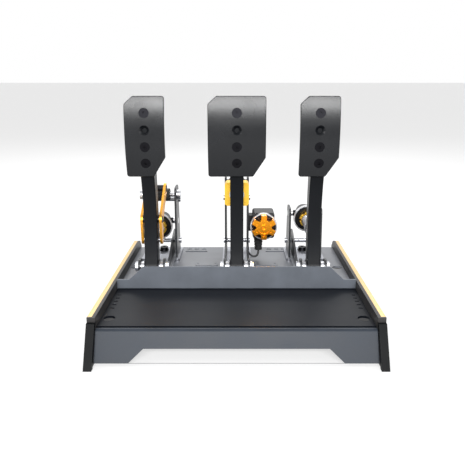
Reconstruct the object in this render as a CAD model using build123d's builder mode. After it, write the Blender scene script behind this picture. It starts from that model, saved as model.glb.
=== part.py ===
from build123d import *
import os
from math import asin, atan2, cos, degrees, hypot, pi, radians, sin, sqrt

os.makedirs("parts", exist_ok=True)

# A sim racing pedal set: clutch, brake and throttle on one base frame.
# Lengths are in millimetres. +Z is up, +X is the driver's right, +Y points away from the driver.
# The origin is on the floor, midway between the side plates and midway along them.

# Gaps and shared stock sizes
cut_overrun = 1.0
seat_gap = 0.3
running_gap = 0.05
sheet = 3.0

# Side plates, end caps and trim
clutch_side_room = 45.5
heel_reach = 161.0
rear_margin = 19.0
rail_thickness = 10.0
rail_top = 54.0
foot_height = 2.0
nose_top = 48.0
nose_run = 28.0
nose_depth = 7.0
nose_ledge = 4.0
nose_edge_radius = 1.0
rail_rear_chamfer = 12.0
trim_width = 5.7
trim_height = 4.0
foot_pad_width = 8.0
foot_pad_length = 60.0
foot_pad_inset = 14.0

# Deck, heel plate and heel stop
deck_top = 41.0
heel_front_setback = 37.2
stop_front_y = -26.0
stop_top = 74.2
stop_ear_width = 17.4
stop_slope_width = 20.4
stop_shoulder_rise = 1.0
stop_flange = 16.0
stop_bend_radius = 2.0
seam_to_screw = 6.0
seam_gap = 0.3
deck_rear_setback = 7.6
rig_hole_radius = 7.75
rig_hole_inset = 10.1
rig_hole_front_setback = 60.0
rig_hole_past_bolt = 22.0
vent_inset = 7.3
vent_length = 6.0
vent_width = 2.8
vent_count = 5
vent_pitch = 11.5
vent_setback = 23.0
cable_slot_x = 69.5
cable_slot_length = 39.0
cable_slot_width = 6.5
cable_slot_setback = 15.0
short_slot_length = 8.5
short_slot_width = 5.5
short_slot_pitch = 12.5
short_slot_count = 3
short_slot_setback = 1.0
cover_length = 36.0
cover_width = 20.0
cover_thickness = 1.2
cover_x = 48.0
cover_y = 86.0
cover_screw_radius = 1.8
cover_screw_inset = 4.0

# Front apron
apron_top = 40.2
apron_top_setback = 29.6
apron_bottom = 4.2
apron_bottom_setback = 12.1
apron_rim = 6.9
apron_lip = 14.0
apron_bend_radius = 5.0
apron_lip_radius = 3.0
apron_inner_radius = 2.0
apron_arch_top = 19.5
apron_arch_inset = 40.7
apron_arch_slope = 17.5
apron_tab_bottom = 12.0
apron_tab_top = 34.0

# Cross tubes and frame screws
tube_depth = 14.0
tube_height = 20.0
tube_wall = 2.0
tube_plug = 18.0
tube_corner_radius = 1.0
front_tube_setback = 0.8
tube_past_seam = 4.0
frame_screw_radius = 3.0
frame_screw_length = 18.0
frame_head_radius = 5.0
frame_head_height = 5.5
frame_bore_radius = 5.6
frame_bore_depth = 6.0
stop_screw_radius = 2.5
stop_head_radius = 4.75
stop_head_height = 2.7
stop_screw_length = 12.0
stop_screw_inner_x = 62.0
stop_screw_inset = 14.7
hex_share = 0.5
hex_depth_share = 0.6

# Pedal modules: places of the three arms and shared pivot
clutch_x = -124.5
brake_x = 0.5
throttle_x = 113.0
pivot_y = 12.0
pivot_z = 62.0
pivot_radius = 5.0
pivot_head_radius = 7.5
pivot_head_length = 5.0
pivot_spacer_radius = 7.5
bush_radius = 8.0
bush_flange_radius = 10.5
bush_flange = 1.5
bush_length = 8.0
press_gap = 0.02

# Foot plates and foot bolts
foot_plate_thickness = 4.0
foot_front_y = -3.0
foot_rear_y = 168.0
foot_margin = 4.0
foot_step_y = 100.0
foot_corner_radius = 3.5
foot_slot_y = 131.0
foot_slot_length = 9.0
foot_slot_width = 5.0
bolt_front_y = 46.0
bolt_rear_setback = 18.0
bolt_radius = 4.0
bolt_head_radius = 6.5
bolt_head_height = 4.4
washer_radius = 8.0
washer_height = 1.6
bolt_reach = 15.0
nut_radius = 7.5
nut_height = 6.0

# Low side plates and rear towers
plate_thickness = 3.0
side_inner = 16.5
side_boss_radius = 12.0
side_low_y = 44.0
side_low_z = 56.0
side_rear_z = 80.0
side_rear_setback = 8.0
side_short_y = 104.0
side_short_z = 70.0
tower_front_y = 108.0
tower_rear_setback = 5.0
tower_lean = 5.0
tower_rear_lean = 11.0
tower_corner_radius = 8.0
wide_tower_inner = 24.0
tie_radius = 4.0
tie_bolt_radius = 2.5
tie_head_radius = 5.0
tie_head_length = 3.0
stop_tie_head_radius = 8.0
stop_tie_head_length = 6.0

# Arms and face plates
arm_half = 9.5
arm_barrel_radius = 13.0
arm_front_y = -1.0
arm_bow = 11.0
arm_low_depth = 24.0
arm_waist_depth = 22.0
arm_head_depth = 27.0
arm_tip_depth = 12.0
arm_tip_drop = 7.0
arm_edge_radius = 1.6
face_bottom = 199.0
face_height = 109.0
face_thickness = 5.0
face_radius = 220.0
face_back_y = 0.0
slim_face_width = 54.0
brake_face_width = 79.0
face_top_cut_x = 11.5
face_top_cut_z = 10.5
face_bottom_cut_x = 17.0
face_bottom_cut_z = 27.0
face_corner_radius = 3.5
face_edge_chamfer = 0.8
face_hole_radius = 3.3
face_sink_radius = 6.9
face_hole_setbacks = (22.0, 45.0, 67.5, 90.0)
face_screw_places = (0, 2, 3)
face_screw_radius = 3.0
face_screw_head_radius = 6.6
face_screw_head_height = 3.6
face_screw_length = 16.0
face_hex_radius = 2.3
face_hex_depth = 2.0
tapping_gap = 0.05

# Struts: eye, rod, seat, barrel, preload ring
strut_pivot_setback = 28.0
link_y = 24.0
clutch_strut_z = 100.0
brake_strut_z = 165.0
throttle_strut_z = 113.0
link_radius = 3.0
link_gap = 0.8
eye_radius = 8.0
eye_half = 3.5
eye_side_gap = 0.5
eye_room = 3.0
rod_radius = 4.0
rod_tail_y = 128.0
seat_front_y = 37.0
seat_thickness = 3.0
seat_radius = 11.0
barrel_radius = 13.0
barrel_rear_y = 152.0
barrel_chamfer = 1.5
flange_front_y = 99.0
flange_thickness = 6.0
flange_radius = 21.0
flange_recess = 1.2
flange_rim = 1.6
journal_radius = 5.0
nose_radius = 7.0
nose_length = 10.0
ring_radius = 12.5
ring_length = 8.0
ring_notch_count = 6
ring_notch_width = 4.0
ring_notch_depth = 2.0
wire_radius = 1.1
coil_radius = 8.7
coil_turns = 8
coil_gap = 0.3

# Clutch lever pair and its end stop
lever_gap = 2.5
lever_thickness = 3.5
lever_elbow_y = 24.0
lever_elbow_z = 131.0
lever_tip_y = 82.0
lever_tip_z = 166.0
lever_low_radius = 9.0
lever_foot_radius = 6.5
lever_tip_radius = 8.0
lever_bolt_radius = 3.0
lever_head_radius = 5.0
lever_head_length = 0.8
lever_spacer_radius = 5.5
clutch_travel = 17.0
brake_travel = 7.0
throttle_travel = 16.0
stop_tie_y = 127.0
stop_tie_z = 147.0
stop_clearance = 0.6
stop_bore_gap = 0.05
clutch_tower_top = 160.0
throttle_tower_top = 126.0
brake_tower_top = 178.0
middle_tie_y = 153.0
middle_tie_z = 134.0
low_tie_y = 153.0
low_tie_z = 62.0
upper_tie_y = 153.0
upper_tie_z = 137.0

# Brake thrust block and elastomer pads
thrust_half = 18.0
thrust_height = 35.0
thrust_depth = 22.0
thrust_corner_radius = 5.0
pad_radius = 15.0
pad_count = 3
pad_bore_gap = 0.5
pad_edge = 1.2
pad_gap = 0.3
brake_flange_front_y = 112.0
brake_flange_radius = 15.5

# Brake force adjuster on the right of the brake tower
adjuster_x = 43.5
adjuster_z = 102.0
adjuster_front_y = 98.0
adjuster_depth = 34.0
adjuster_half = 17.5
adjuster_height = 42.0
adjuster_corner_radius = 4.0
adjuster_pad_length = 20.0
adjuster_pad_height = 26.0
bezel_radius = 21.5
bezel_length = 7.0
bezel_rim = 1.8
bezel_recess = 1.5
knob_radius = 19.5
knob_root_radius = 12.5
knob_length = 8.0
knob_standoff = 2.0
knob_lobes = 6
knob_lobe_half = 4.6
knob_root_fillet = 2.2
knob_tip_fillet = 1.4
knob_stem_radius = 4.0
knob_stem_length = 6.0
knob_dish_radius = 9.5
knob_dish_depth = 1.6
knob_hub_radius = 5.0
knob_bore_radius = 2.6
knob_bore_depth = 4.0
knob_pin_radius = 1.3
knob_pin_depth = 1.5
relief_x = 36.0
relief_top_radius = 8.0
relief_bottom_radius = 6.0
relief_length = 24.0
relief_ribs = 5
relief_groove = 1.0
lead_radius = 1.6
lead_drop = 2.0
lead_bend = 8.0
lead_turn = 135.0

# Places that follow from the sizes above
front_y = stop_front_y - heel_reach
rear_y = foot_rear_y + rear_margin
inner_half = clutch_side_room - clutch_x
overall_width = 2 * (inner_half + rail_thickness)
plate_half = inner_half - seat_gap
bolt_rear_y = foot_rear_y - bolt_rear_setback
side_rear_y = foot_rear_y - side_rear_setback
tower_rear_y = foot_rear_y - tower_rear_setback
strut_pivot_y = foot_rear_y - strut_pivot_setback
stop_shoulder_half = plate_half - stop_ear_width
stop_top_half = stop_shoulder_half - stop_slope_width
stop_screw_outer_x = plate_half - stop_screw_inset
apron_arch_bottom_half = plate_half - apron_arch_inset
apron_arch_top_half = apron_arch_bottom_half - apron_arch_slope
rig_hole_half = plate_half - rig_hole_inset
rig_hole_front_y = front_y + rig_hole_front_setback
rig_hole_rear_y = bolt_front_y + rig_hole_past_bolt
vent_x = plate_half - vent_inset
vent_places = [stop_front_y - vent_setback - step * vent_pitch for step in range(vent_count)]
cable_slot_y = foot_rear_y - cable_slot_setback
short_slot_y = foot_rear_y - short_slot_setback
tube_top = deck_top - sheet
tube_z = tube_top - tube_height / 2
heel_front_y = front_y + heel_front_setback
stop_screw_y = stop_front_y + sheet + stop_flange / 2
seam_y = stop_screw_y - seam_to_screw
front_tube_y = heel_front_y + front_tube_setback + tube_depth / 2
middle_tube_y = seam_y + tube_past_seam
rear_tube_y = bolt_rear_y
tube_places = (front_tube_y, middle_tube_y, rear_tube_y)
deck_rear_y = rear_y - deck_rear_setback
module_floor = deck_top + foot_plate_thickness
side_outer = side_inner + plate_thickness
wide_tower_outer = wide_tower_inner + plate_thickness
ring_front_y = flange_front_y - ring_length
seat_rear_y = seat_front_y + seat_thickness
face_top = face_bottom + face_height
face_hole_heights = [face_top - setback for setback in face_hole_setbacks]


def nose_y(height):
    """Y of the slanted front line of the end caps at a height."""
    return front_y + nose_run * height / nose_top


def folded_outline(skin, thickness):
    """Closed outline of a folded sheet: the skin points, then the same line set off to the right."""
    normals = []
    for start, end in zip(skin, skin[1:]):
        run = hypot(end[0] - start[0], end[1] - start[1])
        normals.append(((end[1] - start[1]) / run, (start[0] - end[0]) / run))
    inner = []
    for index, point in enumerate(skin):
        before = normals[max(index - 1, 0)]
        after = normals[min(index, len(normals) - 1)]
        spread = 1 + before[0] * after[0] + before[1] * after[1]
        step_y = thickness * (before[0] + after[0]) / spread
        step_z = thickness * (before[1] + after[1]) / spread
        inner.append((point[0] + step_y, point[1] + step_z))
    return skin + inner[::-1]


def across(x):
    """A sketch plane square to X, with Y to the right and Z up, at a distance from the middle."""
    return Plane.YZ.offset(x)


def along(x, y, z):
    """A plane square to Y with its origin at a point: extrusions run away from the driver."""
    return Plane(origin=(x, y, z), x_dir=(1, 0, 0), z_dir=(0, 1, 0))


def turned(point_y, point_z, degrees_pressed):
    """A point of an arm after the pedal is pressed through an angle."""
    turn = radians(degrees_pressed)
    out_y = point_y - pivot_y
    out_z = point_z - pivot_z
    new_y = pivot_y + out_y * cos(turn) + out_z * sin(turn)
    new_z = pivot_z + out_z * cos(turn) - out_y * sin(turn)
    return new_y, new_z


# Side plates

def side_plate(hand):
    """One side plate: slanted nose, rear chamfer, trim rebate and counterbored screw holes."""
    outer = hand * overall_width / 2
    inner = hand * inner_half
    with BuildPart() as plate:
        with BuildSketch(across(min(outer, inner))):
            with BuildLine():
                Polyline(
                    (nose_y(nose_top) + nose_ledge, rail_top),
                    (nose_y(nose_top) + nose_ledge, nose_top),
                    (nose_y(nose_top) + nose_depth, nose_top),
                    (nose_y(foot_height) + nose_depth, foot_height),
                    (rear_y, foot_height),
                    (rear_y, rail_top - rail_rear_chamfer),
                    (rear_y - rail_rear_chamfer, rail_top),
                    close=True,
                )
            make_face()
        extrude(amount=rail_thickness)
        trim_front = nose_y(nose_top) + nose_depth
        trim_rear = rear_y - rail_rear_chamfer
        with BuildSketch(Plane.XY.offset(rail_top - trim_height)):
            with Locations((outer - hand * trim_width / 2, (trim_front + trim_rear) / 2)):
                Rectangle(trim_width, trim_rear - trim_front)
        extrude(amount=trim_height, mode=Mode.SUBTRACT)
        outer_face = Plane(origin=(outer, 0, 0), x_dir=(0, hand, 0), z_dir=(hand, 0, 0))
        with Locations(*[outer_face.location * Location((hand * y, tube_z, 0)) for y in tube_places]):
            CounterBoreHole(
                radius=frame_screw_radius + running_gap,
                counter_bore_radius=frame_bore_radius,
                counter_bore_depth=frame_bore_depth,
                depth=rail_thickness + cut_overrun,
            )
    return plate


side_plate_left = side_plate(-1)
side_plate_left.part.label = "side_plate_left"
export_step(side_plate_left.part, "parts/side_plate_left.step")

side_plate_right = side_plate(1)
side_plate_right.part.label = "side_plate_right"
export_step(side_plate_right.part, "parts/side_plate_right.step")

# Trim strips along the outer top edges
with BuildPart() as side_trims:
    trim_front = nose_y(nose_top) + nose_depth
    trim_rear = rear_y - rail_rear_chamfer
    trim_x = overall_width / 2 - trim_width / 2
    with BuildSketch(Plane.XY.offset(rail_top - trim_height)):
        with Locations((-trim_x, (trim_front + trim_rear) / 2), (trim_x, (trim_front + trim_rear) / 2)):
            Rectangle(trim_width, trim_rear - trim_front)
    extrude(amount=trim_height)
side_trims.part.label = "side_trims"
export_step(side_trims.part, "parts/side_trims.step")

# End caps over the slanted noses
with BuildPart() as end_caps:
    for cap_x in (-overall_width / 2, inner_half):
        with BuildSketch(across(cap_x)):
            with BuildLine():
                Polyline(
                    (nose_y(nose_top), nose_top),
                    (front_y, 0),
                    (front_y + nose_depth, 0),
                    (nose_y(nose_top) + nose_depth, nose_top),
                    close=True,
                )
            make_face()
            fillet(vertices().sort_by_distance((nose_y(nose_top), nose_top))[0], nose_edge_radius)
        extrude(amount=rail_thickness)
end_caps.part.label = "end_caps"
export_step(end_caps.part, "parts/end_caps.step")

# Rubber feet under the side plates
with BuildPart() as rubber_feet:
    pad_x = (overall_width - rail_thickness) / 2
    front_pad_y = front_y + foot_pad_inset + foot_pad_length / 2
    rear_pad_y = rear_y - foot_pad_inset - foot_pad_length / 2
    pad_places = [(x, y) for x in (-pad_x, pad_x) for y in (front_pad_y, rear_pad_y)]
    with BuildSketch():
        with Locations(*pad_places):
            RectangleRounded(foot_pad_width, foot_pad_length, foot_pad_width / 2 - running_gap)
    extrude(amount=foot_height)
rubber_feet.part.label = "rubber_feet"
export_step(rubber_feet.part, "parts/rubber_feet.step")


# Front apron: a folded sheet with a top rim, a lip behind it and a tab at each end
def apron_y(height):
    """Y of the apron's slanted skin at a height."""
    rise = (height - apron_bottom) / (apron_top - apron_bottom)
    return front_y + apron_bottom_setback + rise * (apron_top_setback - apron_bottom_setback)


with BuildPart() as front_apron:
    rim_rear = apron_y(apron_top) + apron_rim
    skin = [
        (apron_y(apron_bottom), apron_bottom),
        (apron_y(apron_top), apron_top),
        (rim_rear, apron_top),
        (rim_rear, apron_top - apron_lip),
    ]
    outline = folded_outline(skin, sheet)
    with BuildSketch(across(-plate_half)):
        with BuildLine():
            Polyline(*outline, close=True)
        make_face()
        fillet(vertices().sort_by_distance(skin[1])[0], apron_bend_radius)
        fillet(vertices().sort_by_distance(skin[2])[0], apron_lip_radius)
        fillet(vertices().sort_by_distance(outline[6])[0], apron_inner_radius)
    extrude(amount=2 * plate_half)
    with BuildSketch(Plane.XZ.offset(-front_y)):
        with BuildLine():
            Polyline(
                (-apron_arch_bottom_half, apron_bottom - cut_overrun),
                (-apron_arch_bottom_half, apron_bottom),
                (-apron_arch_top_half, apron_arch_top),
                (apron_arch_top_half, apron_arch_top),
                (apron_arch_bottom_half, apron_bottom),
                (apron_arch_bottom_half, apron_bottom - cut_overrun),
                close=True,
            )
        make_face()
    extrude(amount=-heel_front_setback, mode=Mode.SUBTRACT)
    for tab_x in (-inner_half, inner_half - sheet):
        with BuildSketch(across(tab_x)):
            with BuildLine():
                Polyline(
                    (apron_y(apron_tab_bottom) + sheet, apron_tab_bottom),
                    (apron_y(apron_tab_top) + sheet, apron_tab_top),
                    (rim_rear, apron_tab_top),
                    (rim_rear, apron_tab_bottom),
                    close=True,
                )
            make_face()
        extrude(amount=sheet)
front_apron.part.label = "front_apron"
export_step(front_apron.part, "parts/front_apron.step")

# Heel plate
with BuildPart() as heel_plate:
    heel_rear_y = seam_y - seam_gap / 2
    with BuildSketch(Plane.XY.offset(tube_top)):
        with Locations((0, (heel_front_y + heel_rear_y) / 2)):
            Rectangle(2 * plate_half, heel_rear_y - heel_front_y)
        with Locations((-rig_hole_half, rig_hole_front_y), (rig_hole_half, rig_hole_front_y)):
            Circle(rig_hole_radius, mode=Mode.SUBTRACT)
        for vent_y in vent_places:
            with Locations((-vent_x, vent_y), (vent_x, vent_y)):
                SlotOverall(vent_length, vent_width, mode=Mode.SUBTRACT)
    extrude(amount=sheet)
heel_plate.part.label = "heel_plate"
export_step(heel_plate.part, "parts/heel_plate.step")

# Heel stop: an upright sheet with sloping shoulders and a flange behind its foot
stop_screw_xs = (-stop_screw_outer_x, -stop_screw_inner_x, stop_screw_inner_x, stop_screw_outer_x)
with BuildPart() as heel_stop:
    stop_skin = [
        (stop_front_y, stop_top),
        (stop_front_y, deck_top),
        (stop_front_y + sheet + stop_flange, deck_top),
    ]
    upright = folded_outline(stop_skin[::-1], sheet)
    with BuildSketch(across(-plate_half)):
        with BuildLine():
            Polyline(*upright, close=True)
        make_face()
        fillet(vertices().sort_by_distance(stop_skin[1])[0], stop_bend_radius)
    extrude(amount=2 * plate_half)
    shoulder_z = rail_top + stop_shoulder_rise
    for side in (-1, 1):
        with BuildSketch(Plane.XZ.offset(-stop_front_y + cut_overrun)):
            with BuildLine():
                Polyline(
                    (side * stop_top_half, stop_top),
                    (side * stop_top_half, stop_top + cut_overrun),
                    (side * (plate_half + cut_overrun), stop_top + cut_overrun),
                    (side * (plate_half + cut_overrun), shoulder_z),
                    (side * stop_shoulder_half, shoulder_z),
                    close=True,
                )
            make_face()
        extrude(amount=-(sheet + 2 * cut_overrun), mode=Mode.SUBTRACT)
    with Locations(*[(x, stop_screw_y, deck_top + sheet) for x in stop_screw_xs]):
        Hole(stop_screw_radius + running_gap, depth=sheet + cut_overrun)
heel_stop.part.label = "heel_stop"
export_step(heel_stop.part, "parts/heel_stop.step")

# Pedal deck with its cable slots
module_xs = (clutch_x, brake_x, throttle_x)
with BuildPart() as pedal_deck:
    deck_front_y = seam_y + seam_gap / 2
    with BuildSketch(Plane.XY.offset(tube_top)):
        with Locations((0, (deck_front_y + deck_rear_y) / 2)):
            Rectangle(2 * plate_half, deck_rear_y - deck_front_y)
        with Locations((-cable_slot_x, cable_slot_y), (cable_slot_x, cable_slot_y)):
            SlotOverall(cable_slot_length, cable_slot_width, mode=Mode.SUBTRACT)
        for side in (-1, 1):
            with Locations((side * cable_slot_x, short_slot_y)):
                with GridLocations(short_slot_pitch, short_slot_pitch, short_slot_count, 1):
                    SlotOverall(short_slot_length, short_slot_width, mode=Mode.SUBTRACT)
        with Locations((-rig_hole_half, rig_hole_rear_y), (rig_hole_half, rig_hole_rear_y)):
            Circle(rig_hole_radius, mode=Mode.SUBTRACT)
        for module_x in module_xs:
            with Locations((module_x, bolt_front_y), (module_x, bolt_rear_y)):
                Circle(bolt_radius + running_gap, mode=Mode.SUBTRACT)
        with Locations(*[(x, stop_screw_y) for x in stop_screw_xs]):
            Circle(stop_screw_radius + running_gap, mode=Mode.SUBTRACT)
    extrude(amount=sheet)
pedal_deck.part.label = "pedal_deck"
export_step(pedal_deck.part, "parts/pedal_deck.step")

# Cover plates on the deck, each with a small screw head
with BuildPart() as cover_plates:
    with BuildSketch(Plane.XY.offset(deck_top)):
        with Locations((-cover_x, cover_y), (cover_x, cover_y)):
            RectangleRounded(cover_length, cover_width, cover_width / 8)
    extrude(amount=cover_thickness)
    with BuildSketch(Plane.XY.offset(deck_top + cover_thickness)):
        screw_x = cover_length / 2 - cover_screw_inset
        for cover_side in (-cover_x, cover_x):
            with Locations((cover_side - screw_x, cover_y), (cover_side + screw_x, cover_y)):
                Circle(cover_screw_radius)
    extrude(amount=cover_thickness / 2)
cover_plates.part.label = "cover_plates"
export_step(cover_plates.part, "parts/cover_plates.step")

# Cross tubes with solid ends for the frame screws
with BuildPart() as cross_tubes:
    for tube_y in tube_places:
        with BuildSketch(across(-inner_half)):
            with Locations((tube_y, tube_z)):
                RectangleRounded(tube_depth, tube_height, tube_corner_radius)
        extrude(amount=2 * inner_half)
        with BuildSketch(across(-inner_half + tube_plug)):
            with Locations((tube_y, tube_z)):
                Rectangle(tube_depth - 2 * tube_wall, tube_height - 2 * tube_wall)
        extrude(amount=2 * (inner_half - tube_plug), mode=Mode.SUBTRACT)
        for tube_end in (-inner_half, inner_half - tube_plug):
            with BuildSketch(across(tube_end)):
                with Locations((tube_y, tube_z)):
                    Circle(frame_screw_radius + running_gap)
            extrude(amount=tube_plug, mode=Mode.SUBTRACT)
    with Locations(*[(x, stop_screw_y, tube_top) for x in stop_screw_xs]):
        Hole(stop_screw_radius + running_gap, depth=stop_screw_length - 2 * sheet + seat_gap)
    with Locations(*[(x, bolt_rear_y, tube_top) for x in module_xs]):
        Hole(bolt_radius + running_gap, depth=bolt_reach)
cross_tubes.part.label = "cross_tubes"
export_step(cross_tubes.part, "parts/cross_tubes.step")


def socket_screw(plane, shank_radius, shank_length, head_radius, head_height):
    """A socket screw: the head rises from the plane, the shank runs below it."""
    with BuildPart() as screw:
        with BuildSketch(plane):
            Circle(shank_radius)
        extrude(amount=-shank_length)
        with BuildSketch(plane):
            Circle(head_radius)
        extrude(amount=head_height)
        with BuildSketch(plane.offset(head_height)):
            RegularPolygon(head_radius * hex_share, 6)
        extrude(amount=-head_height * hex_depth_share, mode=Mode.SUBTRACT)
    return screw.part


# Frame screws: through the side plates into the tubes, and down through the heel stop
screws_in_frame = []
for hand in (-1, 1):
    floor_x = hand * (overall_width / 2 - frame_bore_depth)
    for tube_y in tube_places:
        bore_floor = Plane(origin=(floor_x, tube_y, tube_z), x_dir=(0, 1, 0), z_dir=(hand, 0, 0))
        screws_in_frame.append(
            socket_screw(
                bore_floor, frame_screw_radius, frame_screw_length, frame_head_radius, frame_head_height
            )
        )
for screw_place in stop_screw_xs:
    flange_plane = Plane(origin=(screw_place, stop_screw_y, deck_top + sheet))
    screws_in_frame.append(
        socket_screw(
            flange_plane, stop_screw_radius, stop_screw_length, stop_head_radius, stop_head_height
        )
    )
with BuildPart() as frame_screws:
    add(screws_in_frame)
frame_screws.part.label = "frame_screws"
export_step(frame_screws.part, "parts/frame_screws.step")

# Foot bolts: two on the centreline of each pedal, the front one with a nut under the deck
bolts_in_feet = []
for module_x in module_xs:
    for bolt_y in (bolt_front_y, bolt_rear_y):
        bolts_in_feet.append(
            socket_screw(
                Plane(origin=(module_x, bolt_y, module_floor + washer_height)),
                bolt_radius,
                washer_height + foot_plate_thickness + sheet + bolt_reach,
                bolt_head_radius,
                bolt_head_height,
            )
        )
with BuildPart() as foot_bolts:
    add(bolts_in_feet)
    with BuildSketch(Plane.XY.offset(module_floor)):
        for module_x in module_xs:
            with Locations((module_x, bolt_front_y), (module_x, bolt_rear_y)):
                Circle(washer_radius)
    extrude(amount=washer_height)
    with BuildSketch(Plane.XY.offset(tube_top)):
        with Locations(*[(module_x, bolt_front_y) for module_x in module_xs]):
            RegularPolygon(nut_radius, 6)
    extrude(amount=-nut_height)
foot_bolts.part.label = "foot_bolts"
export_step(foot_bolts.part, "parts/foot_bolts.step")


# Parts that each pedal module has

def foot_plate(x, tower_outer):
    """The plate that a pedal module stands on, wider under its tower."""
    with BuildPart() as foot:
        with BuildSketch(Plane.XY.offset(deck_top)):
            with Locations((x, (foot_front_y + foot_rear_y) / 2)):
                Rectangle(2 * (side_outer + foot_margin), foot_rear_y - foot_front_y)
            with Locations((x, (foot_step_y + foot_rear_y) / 2)):
                Rectangle(2 * (tower_outer + foot_margin), foot_rear_y - foot_step_y)
            fillet(vertices(), foot_corner_radius)
            with Locations((x, bolt_front_y), (x, bolt_rear_y)):
                Circle(bolt_radius + running_gap, mode=Mode.SUBTRACT)
            with Locations((x, foot_slot_y)):
                SlotOverall(foot_slot_length, foot_slot_width, mode=Mode.SUBTRACT)
        extrude(amount=foot_plate_thickness)
    return foot


def low_side_outline(end_y, end_z):
    """Outline of a low side plate: a round boss at the pivot, a low waist and a rising rear."""
    with BuildLine() as outline:
        front = Line((pivot_y - side_boss_radius, module_floor), (pivot_y - side_boss_radius, pivot_z))
        boss = CenterArc((pivot_y, pivot_z), side_boss_radius, 180, -150)
        waist = Spline(
            boss @ 1,
            (side_low_y, side_low_z),
            (end_y, end_z),
            tangents=[boss % 1, (end_y - side_low_y, (end_z - side_low_z) / 2)],
        )
        rear = Line(waist @ 1, (end_y, module_floor))
        Line(rear @ 1, front @ 0)
    return outline.line


def frame_plates(x, tower_inner, tower_top, strut_z, end_y, end_z, ties):
    """Low side plates with the pivot holes, and tower plates with the strut and tie holes."""
    low_side = low_side_outline(end_y, end_z)
    with BuildPart() as plates:
        for start in (x - side_outer, x + side_inner):
            with BuildSketch(across(start)):
                add(low_side)
                make_face()
                with Locations((pivot_y, pivot_z)):
                    Circle(pivot_radius + running_gap, mode=Mode.SUBTRACT)
                with Locations((low_tie_y, low_tie_z)):
                    Circle(tie_radius + running_gap, mode=Mode.SUBTRACT)
            extrude(amount=plate_thickness)
        for start in (x - tower_inner - plate_thickness, x + tower_inner):
            with BuildSketch(across(start)):
                with BuildLine():
                    Polyline(
                        (tower_front_y, module_floor),
                        (tower_front_y + tower_lean, tower_top),
                        (tower_rear_y - tower_rear_lean, tower_top),
                        (tower_rear_y, module_floor),
                        close=True,
                    )
                make_face()
                fillet(vertices().group_by(Axis.Y)[-1], tower_corner_radius)
                with Locations((strut_pivot_y, strut_z)):
                    Circle(journal_radius + running_gap, mode=Mode.SUBTRACT)
                with Locations(*[(tie[0], tie[1]) for tie in ties]):
                    Circle(tie_bolt_radius + running_gap, mode=Mode.SUBTRACT)
            extrude(amount=plate_thickness)
    return plates


def tower_ties(x, tower_inner, ties):
    """Round bars between the tower plates, each with a bolt head outside both plates."""
    tower_outer = tower_inner + plate_thickness
    with BuildPart() as bars:
        for tie_y, tie_z, head_radius, head_length in ties:
            with BuildSketch(across(x - tower_inner)):
                with Locations((tie_y, tie_z)):
                    Circle(tie_radius)
            extrude(amount=2 * tower_inner)
            with BuildSketch(across(x - tower_outer - head_length)):
                with Locations((tie_y, tie_z)):
                    Circle(tie_bolt_radius)
            extrude(amount=2 * (tower_outer + head_length))
            for head_start in (x - tower_outer - head_length, x + tower_outer):
                with BuildSketch(across(head_start)):
                    with Locations((tie_y, tie_z)):
                        Circle(head_radius)
                extrude(amount=head_length)
    return bars


def pivot_shaft(x):
    """The pivot shaft with a hexagon at each end, and the two spacers that centre the arm."""
    with BuildPart() as shaft:
        with BuildSketch(across(x - side_outer - pivot_head_length)):
            with Locations((pivot_y, pivot_z)):
                Circle(pivot_radius)
        extrude(amount=2 * (side_outer + pivot_head_length))
        for head_start in (x - side_outer - pivot_head_length, x + side_outer):
            with BuildSketch(across(head_start)):
                with Locations((pivot_y, pivot_z)):
                    RegularPolygon(pivot_head_radius, 6)
            extrude(amount=pivot_head_length)
    spacer_length = side_inner - arm_half - bush_flange - seat_gap
    with BuildPart() as spacers:
        for spacer_start in (x - side_inner, x + side_inner - spacer_length):
            with BuildSketch(across(spacer_start)):
                with Locations((pivot_y, pivot_z)):
                    Circle(pivot_spacer_radius)
                    Circle(pivot_radius + running_gap, mode=Mode.SUBTRACT)
            extrude(amount=spacer_length)
    return Compound(children=[shaft.part.solids()[0]] + list(spacers.part.solids()))


def pivot_bushes(x):
    """Two flanged bushes pressed into the arm from its sides."""
    with BuildPart() as bushes:
        for hand in (-1, 1):
            cheek = x + hand * arm_half
            with BuildSketch(Plane(origin=(cheek, pivot_y, pivot_z), z_dir=(hand, 0, 0))):
                Circle(bush_flange_radius)
                Circle(pivot_radius + running_gap, mode=Mode.SUBTRACT)
            extrude(amount=bush_flange)
            with BuildSketch(Plane(origin=(cheek, pivot_y, pivot_z), z_dir=(hand, 0, 0))):
                Circle(bush_radius - press_gap)
                Circle(pivot_radius + running_gap, mode=Mode.SUBTRACT)
            extrude(amount=-bush_length)
    return bushes


# The face plates are bowed: their back is an arc of this centre and radius
face_middle_z = (face_bottom + face_top) / 2
face_back_radius = face_radius - face_thickness
face_half_height = (face_top - face_bottom) / 2
face_centre_y = face_back_y + sqrt(face_back_radius**2 - face_half_height**2)


def bow_point(radius, height):
    """The point of an arc about the face centre at a height."""
    return face_centre_y - sqrt(radius**2 - (height - face_middle_z) ** 2), height


def screw_plane(x, height):
    """A plane on the front of a face plate at a height, square to its bowed surface."""
    tilt = asin((height - face_middle_z) / face_radius)
    normal = (0, -cos(tilt), sin(tilt))
    front = (x, face_centre_y - face_radius * cos(tilt), height)
    return Plane(origin=front, x_dir=(1, 0, 0), z_dir=normal)


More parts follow.
